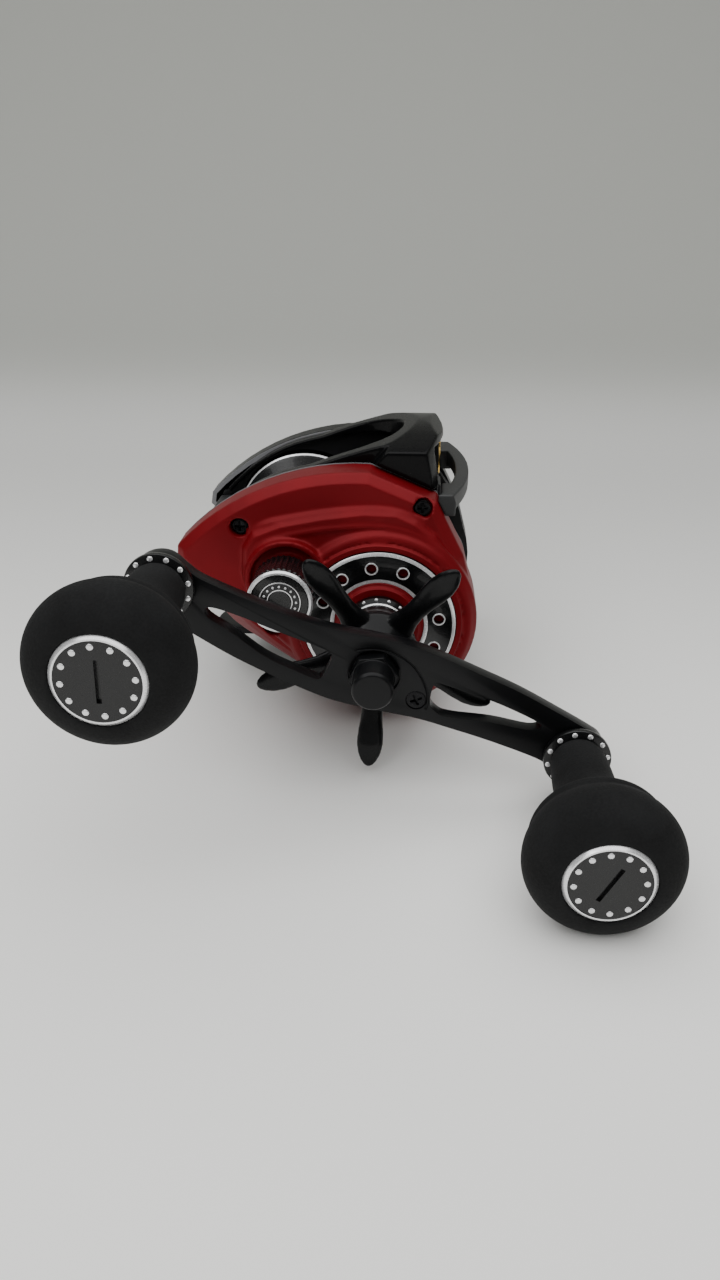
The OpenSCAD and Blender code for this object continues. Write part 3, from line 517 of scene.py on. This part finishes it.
# Spool: turned from bar, anodised black, with the outer edge of both flanges cut bright.
spool_black = turning_lines(
    finish("spool_anodising", (0.004, 0.0042, 0.0047), 0.3, 0.24, 0.05, 0.3, 0.02, 0.3),
    spool_axis, 0.2, 0.3)
spool_half = [(0.0, 11.5), (7.5, 11.5), (9.0, 11.6), (9.9, 12.1), (10.6, 13.2), (11.6, 15.4),
              (12.3, 17.2), (12.6, 17.9), (12.8, 18.25), (13.2, 18.3), (13.5, 18.0),
              (13.6, 17.6), (13.3, 16.6), (12.9, 15.2), (12.6, 13.4), (12.3, 11.2), (11.9, 10.4),
              (11.0, 10.2), (2.2, 10.2), (1.9, 9.9), (1.9, 4.4), (2.2, 4.0), (13.3, 4.0),
              (13.6, 3.7), (13.6, 1.6)]
spool = turned("spool_turning", [(-x, r) for x, r in reversed(spool_half)] + spool_half[1:],
               spool_axis, 128)
spool.data.materials.append(spool_black)
flange_rim_r = 17.65
paint_faces(spool, bright_cut, lambda f: off_axis(f.center, spool_axis) > flange_rim_r)
bpy.ops.object.shade_smooth_by_angle(angle=math.radians(50))
fit(spool, spool_black, "spool", "gloss_ring", "spool")

# Spool tension knob: knurled barrel on the cover's neck with a bright lip, closed by a plain
# face disc that carries two fine rings and a ring of dots.
knob_black = turning_lines(
    finish("knob_anodising", (0.005, 0.0052, 0.0057), 0.3, 0.26, 0.05, 0.3, 0.02, 0.3),
    spool_axis, 0.12, 0.2)
barrel = turned("tension_knob_barrel", [
    (32.5, 5.75), (32.5, 6.6), (32.7, 6.85), (33.2, 6.9), (33.5, 7.0), (41.6, 7.0), (41.9, 6.9),
    (42.3, 6.9), (42.5, 7.1), (42.8, 7.35), (43.1, 7.3), (43.5, 6.9), (43.5, 6.45),
    (43.3, 6.35), (42.9, 6.35), (42.9, 5.75), (32.5, 5.75)], spool_axis, 144, closed=True)
knurl_from, knurl_to, knurl_r, facets_round = 33.4, 41.7, 7.3, 144
for vert in barrel.data.vertices:
    turn = math.atan2(vert.co.z - spool_axis.z, vert.co.y - spool_axis.y)
    on_tooth = round(turn / math.tau * facets_round) % 4 in (0, 1)
    if knurl_from < vert.co.x / MM < knurl_to and on_tooth:
        grow = knurl_r / off_axis(vert.co, spool_axis)
        vert.co.y = spool_axis.y + (vert.co.y - spool_axis.y) * grow
        vert.co.z = spool_axis.z + (vert.co.z - spool_axis.z) * grow
barrel.data.materials.append(knob_black)
paint_faces(barrel, bright_cut, lambda f: f.center.x > 43.05 * MM and f.normal.x > 0.3
            and off_axis(f.center, spool_axis) > 6.5)
bpy.ops.object.shade_smooth_by_angle(angle=math.radians(25))
fit(barrel, knob_black, "tension", "gloss_ring", "tension_knob")
face = turned("tension_knob_face", [
    (42.7, 6.3), (43.2, 6.3), (43.3, 6.2), (43.3, 4.75), (43.15, 4.6), (43.15, 4.4), (43.3, 4.25),
    (43.3, 3.0), (43.15, 2.85), (43.15, 2.65), (43.3, 2.5), (43.3, 0.1)], spool_axis, 96)
face.data.materials.append(knob_black)
paint_faces(face, bright_cut, lambda f: f.normal.x > 0.1 and (
    4.35 < off_axis(f.center, spool_axis) < 4.65 or 2.6 < off_axis(f.center, spool_axis) < 2.9))
bpy.ops.object.shade_smooth_by_angle(angle=math.radians(30))
fit(face, knob_black, "tension", "gloss_ring", "tension_face")


def studs(name, axis, ring_r, x_mm, dot_r, count, start_deg):
    """A ring of small domed studs that face +X, about the X axis through axis."""
    spot = Vector((0, axis.y + ring_r * MM, axis.z))
    dome = [(x_mm - 0.35, dot_r), (x_mm, dot_r), (x_mm + 0.12, dot_r * 0.88),
            (x_mm + 0.2, dot_r * 0.6), (x_mm + 0.22, dot_r * 0.1)]
    dots = turned(name, dome, spot, 20)
    copies_round(dots, axis, count, start_deg)
    bpy.ops.object.shade_smooth_by_angle(angle=math.radians(50))
    return dots


dots = studs("tension_knob_dots", spool_axis, 3.62, 43.3, 0.28, 16, 0)
for vert in dots.data.vertices:
    vert.co.x = min(vert.co.x, 43.45 * MM)
fit(dots, bright_cut, "tension", "gloss_ring")

# Star drag: five leaf-shaped arms that rise from a domed hub, forged in one and gloss black. A
# skirt with a ring of bright dots and a bright line covers its thread.
star_black = finish("star_anodising", (0.003, 0.0032, 0.0037), 0.2, 0.3, 0.04, 0.2, 0.02, 0.1,
                    specular=0.2)
arm_sections = [(3.0, 44.3, 11.5, 4.6), (6.2, 44.9, 9.6, 4.2), (8.4, 45.4, 7.0, 3.4),
                (10.5, 45.9, 5.4, 2.8), (13.0, 46.6, 4.7, 2.4), (16.0, 47.4, 5.0, 2.2),
                (19.0, 48.2, 5.8, 2.1), (21.6, 48.9, 6.0, 2.0), (23.8, 49.4, 5.2, 1.9),
                (25.4, 49.75, 3.8, 1.6), (26.4, 49.95, 2.3, 1.2), (26.85, 50.0, 0.9, 0.6)]
bpy.ops.object.select_all(action="DESELECT")
reach, rise, wide, thick = arm_sections[0]
bpy.ops.mesh.primitive_circle_add(vertices=24, radius=0.5, fill_type="NGON",
                                  rotation=(math.pi / 2, 0, 0))
arm = bpy.context.object
arm.name = "star_casting"
arm.scale = (thick * MM, wide * MM, wide * MM)
arm.location = (rise * MM, handle_axis.y + reach * MM, handle_axis.z)
bpy.ops.object.transform_apply(location=True, rotation=True, scale=True)
bpy.ops.object.mode_set(mode="EDIT")
bpy.ops.mesh.select_all(action="SELECT")
for (r0, x0, w0, t0), (r1, x1, w1, t1) in zip(arm_sections, arm_sections[1:]):
    bpy.ops.mesh.extrude_region_move(
        TRANSFORM_OT_translate={"value": ((x1 - x0) * MM, (r1 - r0) * MM, 0)})
    bpy.ops.transform.resize(value=(t1 / t0, 1, w1 / w0), center_override=(
        x1 * MM, handle_axis.y + r1 * MM, handle_axis.z))
bpy.ops.mesh.select_all(action="SELECT")
bpy.ops.mesh.normals_make_consistent(inside=False)
bpy.ops.object.mode_set(mode="OBJECT")
arm_count, first_arm_deg = 5, 122.9
copies_round(arm, handle_axis, arm_count, first_arm_deg)
hub = turned("hub", [(36.8, 5.0), (36.8, 7.0), (39.5, 7.3), (41.5, 7.9), (43.0, 8.6), (44.4, 9.0),
                     (45.6, 8.8), (46.6, 7.8), (47.6, 6.6), (48.6, 5.4), (48.6, 2.7)],
             handle_axis, 96)
join_into(arm, [hub])
soften(arm, 0.25, 6)
fit(arm, star_black, "star", "gloss_ring", "star_drag")
skirt = turned("star_skirt", [
    (33.0, 4.3), (33.0, 7.7), (33.1, 7.8), (34.5, 7.8), (35.0, 7.3), (35.3, 6.9), (35.5, 6.85),
    (35.7, 6.65), (35.9, 6.6), (37.4, 6.6), (37.4, 4.3), (33.0, 4.3)],
    handle_axis, 96, closed=True)
skirt.data.materials.append(star_black)
paint_faces(skirt, bright_cut, lambda f: 35.28 * MM < f.center.x < 35.72 * MM)
bpy.ops.object.shade_smooth_by_angle(angle=math.radians(30))
fit(skirt, star_black, "star", "gloss_ring")
fit(studs("star_skirt_dots", handle_axis, 7.35, 34.75, 0.45, 16, 4), bright_cut, "star",
    "gloss_ring")

# Handle arm: plate of forged aluminium with two slots, its ends swept back towards the reel,
# satin black with edges that catch the light.
handle_tilt = math.radians(-23.4)
arm_end = 47.5
end_r = 6.3


def smooth_line(points, steps):
    """Points along a closed curve through the given ones."""
    out = []
    count = len(points)
    for i in range(count):
        a, b, c, d = (Vector(points[(i + k) % count]) for k in (-1, 0, 1, 2))
        for s in range(steps):
            t = s / steps
            out.append(0.5 * (2 * b + (c - a) * t + (2 * a - 5 * b + 4 * c - d) * t * t
                              + (3 * b - a - 3 * c + d) * t ** 3))
    return out


def plate(name, outline, x0_mm, x1_mm):
    """A plate from (u, v) points in mm in the handle's own directions, u to the front knob."""
    bpy.ops.object.select_all(action="DESELECT")
    bpy.ops.mesh.primitive_circle_add(vertices=len(outline), fill_type="NGON")
    piece = bpy.context.object
    piece.name = name
    for vert, (u, v) in zip(piece.data.vertices, outline):
        vert.co = (x0_mm * MM, u * MM, v * MM)
    bpy.ops.object.mode_set(mode="EDIT")
    bpy.ops.mesh.select_all(action="SELECT")
    bpy.ops.mesh.extrude_region_move(
        TRANSFORM_OT_translate={"value": ((x1_mm - x0_mm) * MM, 0, 0)})
    bpy.ops.mesh.select_all(action="SELECT")
    bpy.ops.mesh.normals_make_consistent(inside=False)
    bpy.ops.object.mode_set(mode="OBJECT")
    return piece


def to_handle(piece):
    """Puts a piece made about the origin on to the turned handle."""
    piece.data.transform(Matrix.Translation((0, handle_axis.y, handle_axis.z))
                         @ Matrix.Rotation(handle_tilt, 4, "X"))


upper_edge = [(-40, 4.35), (-30, 4.4), (-21, 4.9), (-12.4, 5.8), (-4.1, 7.6), (4.6, 9.2),
              (10.8, 9.5), (20, 9.3), (29.5, 8.8), (39.6, 7.5), (47.5, 6.3)]
front_end = [(arm_end + end_r * math.cos(math.radians(a)), end_r * math.sin(math.radians(a)))
             for a in (60, 30, 0, -30, -60, -90, -125)]
half_outline = upper_edge + front_end
plate_outline = smooth_line(half_outline + [(-u, -v) for u, v in half_outline], 5)
front_slot = [(12.4, 3.2), (14.8, 4.0), (25, 4.6), (35.2, 4.0), (37.4, 3.0), (35.4, 1.3),
              (27.2, -0.2), (18.5, -2.7), (15.6, -2.7), (13.4, -1.2)]
rear_slot = [(-37.3, -1.5), (-36.0, -0.4), (-30, 0.3), (-21.5, 0.6), (-14, 0.9), (-10.4, 0.8),
             (-9.5, -0.4), (-9.4, -3.2), (-9.7, -5.5), (-11, -6.2), (-16, -6.2), (-22.8, -5.8),
             (-30.1, -4.0), (-36.2, -2.9)]
origin = Vector((0, 0, 0))
handle = plate("handle_arm_forging", plate_outline, 53.4, 56.7)
for slot_line in (front_slot, rear_slot):
    cut(handle, plate("slot", smooth_line(slot_line, 4), 50, 60))
cut(handle, turned("nut_recess", [(55.4, 5.5), (60, 5.5)], origin, 64))
cut(handle, turned("screw_recess", [(55.1, 2.2), (60, 2.2)],
                   Vector((0, 10.5 * MM, -1.9 * MM)), 40))
retainer = swept_ridge("retainer_line", [
    (-5.6, 3.4, 0), (-2.3, 5.9, 0), (3.1, 6.5, 0), (7.4, 5.1, 0), (10.9, 2.2, 0), (13.1, -0.8, 0),
    (13.2, -3.0, 0)], 56.75, 0.28)
cut(handle, retainer)
bevel(handle, 0.4, 3, 50)
sweep_from, sweep_length, sweep_back = 20, 36, 1.9
for vert in handle.data.vertices:
    out = max(abs(vert.co.y) / MM - sweep_from, 0)
    vert.co.x -= sweep_back * out / sweep_length * MM
to_handle(handle)
bpy.ops.object.shade_smooth_by_angle(angle=math.radians(30))
fit(handle, satin_anodised, "handle", "black_anodised", "handle_arm")

# Handle nut: black hexagon with a round nose, kept from turning by a small cross-head screw.
fit(cleaned_copy("handle_nut", "handle_nut_turned", 0.35, 3), satin_anodised, "handle",
    "black_anodised", "handle_nut")
fit(cleaned_copy("nut_lock_screw", "nut_lock_screw_turned", 0.1), black_oxide, "handle",
    "black_screw", "nut_lock_screw")

# Knobs: each has a black anodised sleeve whose collar carries twelve bright dots, a bulb-shaped
# foam grip in two lobes, and a screw-in cap with a bright rim, twelve dots and a coin slot.
foam = finish("closed_cell_foam", (0.007, 0.0072, 0.0075), 0.0, 0.85, 0.06, 0.45, 0.5, drift=0.35,
              specular=0.22)
cap_black = finish("cap_anodising", (0.005, 0.0052, 0.0057), 0.3, 0.3, 0.05, 0.2, 0.03, 0.2)
grip_lobes = [(58.2, 4.95), (58.2, 5.3), (58.6, 5.7), (61, 6.05), (66, 6.3), (70, 6.45),
              (73.5, 6.9), (76.5, 7.8), (79, 9.1), (81, 10.7), (82.6, 12.2), (83.8, 13.0),
              (84.8, 13.25), (85.6, 13.25), (86.4, 13.5), (87.6, 14.1), (89.2, 14.7),
              (91.2, 15.0), (93.2, 14.8), (95.0, 14.1), (96.5, 12.9), (97.6, 11.3),
              (98.2, 9.8), (98.35, 9.0), (98.2, 8.6), (97.6, 8.55), (92.2, 8.55)]


def rounded(profile, steps=4):
    """A finer profile that runs smoothly through the given (x, radius) points."""
    ends = [profile[0]] + profile + [profile[-1]]
    out = []
    for a, b, c, d in zip(ends, ends[1:], ends[2:], ends[3:]):
        a, b, c, d = Vector(a), Vector(b), Vector(c), Vector(d)
        for s in range(steps):
            t = s / steps
            out.append(tuple(0.5 * (2 * b + (c - a) * t + (2 * a - 5 * b + 4 * c - d) * t * t
                                    + (3 * b - a - 3 * c + d) * t ** 3)))
    return out + [profile[-1]]


for side, slot_turn in (("rear", 88), ("front", 62)):
    axis, body = knob_axes[side], side + "_knob"
    collar = turned(body + "_collar", [
        (55.9, 2.4), (55.9, 6.5), (56.05, 6.75), (56.5, 7.15), (56.8, 7.2), (57.5, 7.2),
        (57.75, 7.1), (58.3, 5.2), (58.3, 4.9), (91.5, 4.9), (91.5, 2.4), (55.9, 2.4)],
        axis, 96, closed=True)
    bpy.ops.object.shade_smooth_by_angle(angle=math.radians(35))
    fit(collar, cap_black, body, "gloss_ring", body + "_sleeve")
    fit(studs(body + "_collar_dots", axis, 6.25, 57.95, 0.62, 12, 10), bright_cut, body,
        "gloss_ring")
    grip = turned(body + "_foam", rounded(grip_lobes), axis, 128)
    bpy.ops.object.shade_smooth_by_angle(angle=math.radians(60))
    fit(grip, foam, body, "foam", body + "_grip")
    cap = turned(body + "_cap_turning", [
        (92.2, 4.0), (92.2, 8.45), (97.9, 8.5), (98.05, 8.45), (98.6, 7.85), (98.6, 7.55),
        (98.5, 7.45), (98.5, 0.2)], axis, 96)
    groove = plate("groove", [(-4, -0.45), (4, -0.45), (4, 0.45), (-4, 0.45)], 97.7, 100)
    groove.data.transform(Matrix.Translation((0, axis.y, axis.z))
                          @ Matrix.Rotation(math.radians(slot_turn), 4, "X"))
    cut(cap, groove)
    cap.data.materials.append(cap_black)
    paint_faces(cap, bright_cut, lambda f: f.normal.x > 0.3 and 7.6 < off_axis(f.center, axis)
                and f.center.x > 97.95 * MM)
    bpy.ops.object.shade_smooth_by_angle(angle=math.radians(30))
    fit(cap, cap_black, body, "gloss_ring", body + "_cap")
    cap_dots = studs(body + "_cap_dots", axis, 6.4, 98.45, 0.62, 12, 5)
    for vert in cap_dots.data.vertices:
        vert.co.x = min(vert.co.x, 98.6 * MM)
    fit(cap_dots, bright_cut, body, "gloss_ring")

# Line guide: a moulded carriage on the rail and the worm, with a gold-coated ring for the line.
# Its pawl runs in the crossed thread of the worm shaft.
gold = finish("gold_coating", (0.83, 0.55, 0.16), 1.0, 0.2, 0.05, 0.3, 0.03, drift=0.06)
fit(cleaned_copy("guide_insert", "guide_ring_turned", 0.2), gold, "line_guide", "gold",
    "guide_insert")
carriage = bench_copy("guide_carriage", "carriage_moulding")
soften(carriage, 0.2, 4)
fit(carriage, moulded_black, "line_guide", "black_resin", "guide_carriage")

# Worm shaft: hardened steel with a left-hand and a right-hand thread that cross.
worm_axis = axes["worm_spin"]
turns, thread_x, thread_depth, worm_r = 4.5, 13.2, 0.4, 2.5
groove_half, groove_wall = 1.0, 0.5
worm = turned("worm_thread", [(-17.2, 1.5), (-14.6, 1.5), (-14.6, 2.4), (-14.5, worm_r)]
              + [(-14.0 + 0.2 * i, worm_r) for i in range(141)]
              + [(14.5, worm_r), (14.6, 2.4), (14.6, 1.5), (19.4, 1.5)], worm_axis, 48)
for vert in worm.data.vertices:
    x = vert.co.x / MM
    if abs(x) > thread_x:
        continue
    turn = math.atan2(vert.co.z - worm_axis.z, vert.co.y - worm_axis.y) / math.tau
    pitch = 2 * thread_x / turns
    near = min(abs((s * x / pitch - turn + 0.5) % 1 - 0.5) for s in (1, -1)) * pitch
    sink = 1 - thread_depth / worm_r * max(0, min(1, (groove_half - near) / groove_wall))
    vert.co.y = worm_axis.y + (vert.co.y - worm_axis.y) * sink
    vert.co.z = worm_axis.z + (vert.co.z - worm_axis.z) * sink
bpy.ops.object.shade_smooth_by_angle(angle=math.radians(45))
fit(worm, steel, "worm", "steel", "worm_shaft")

# Steel parts: guide rail, bearings, shafts, springs and plates, turned, ground or wound.
surface(steel, "guide_rail", "shaft_bearing", "anti_reverse_bearing", "pinion_bearing",
        "spool_bearings", "yoke_springs", "drive_shaft", "pressure_plate", "drag_springs",
        "anti_reverse_sleeve", "knob_spindles", "rear_knob_bearings", "front_knob_bearings",
        "spool_shaft", "pawl")

# Brass parts: cut gears, bushes, the clutch yoke, the star's nut and the pawl's cap.
brass = finish("cut_brass", (0.7, 0.5, 0.2), 1.0, 0.28, 0.07, 0.2, 0.05, drift=0.08)
surface(brass, "worm_bushes", "drive_gear", "guide_drive_gear", "star_nut", "pinion_gear",
        "clutch_yoke", "worm_gear", "pawl_cap")

# Drag washers of woven carbon, the moulded idler gear, and the spun aluminium brake rotor.
carbon = finish("carbon_washers", (0.03, 0.03, 0.033), 0.0, 0.5, 0.12, 0.5, 0.3, drift=0.4)
rotor_grey = finish("spun_aluminium", (0.42, 0.42, 0.44), 1.0, 0.32, 0.06, 0.2, 0.05)
surface(carbon, "drag_washers")
surface(moulded_black, "idler_gear")
surface(rotor_grey, "brake_rotor")
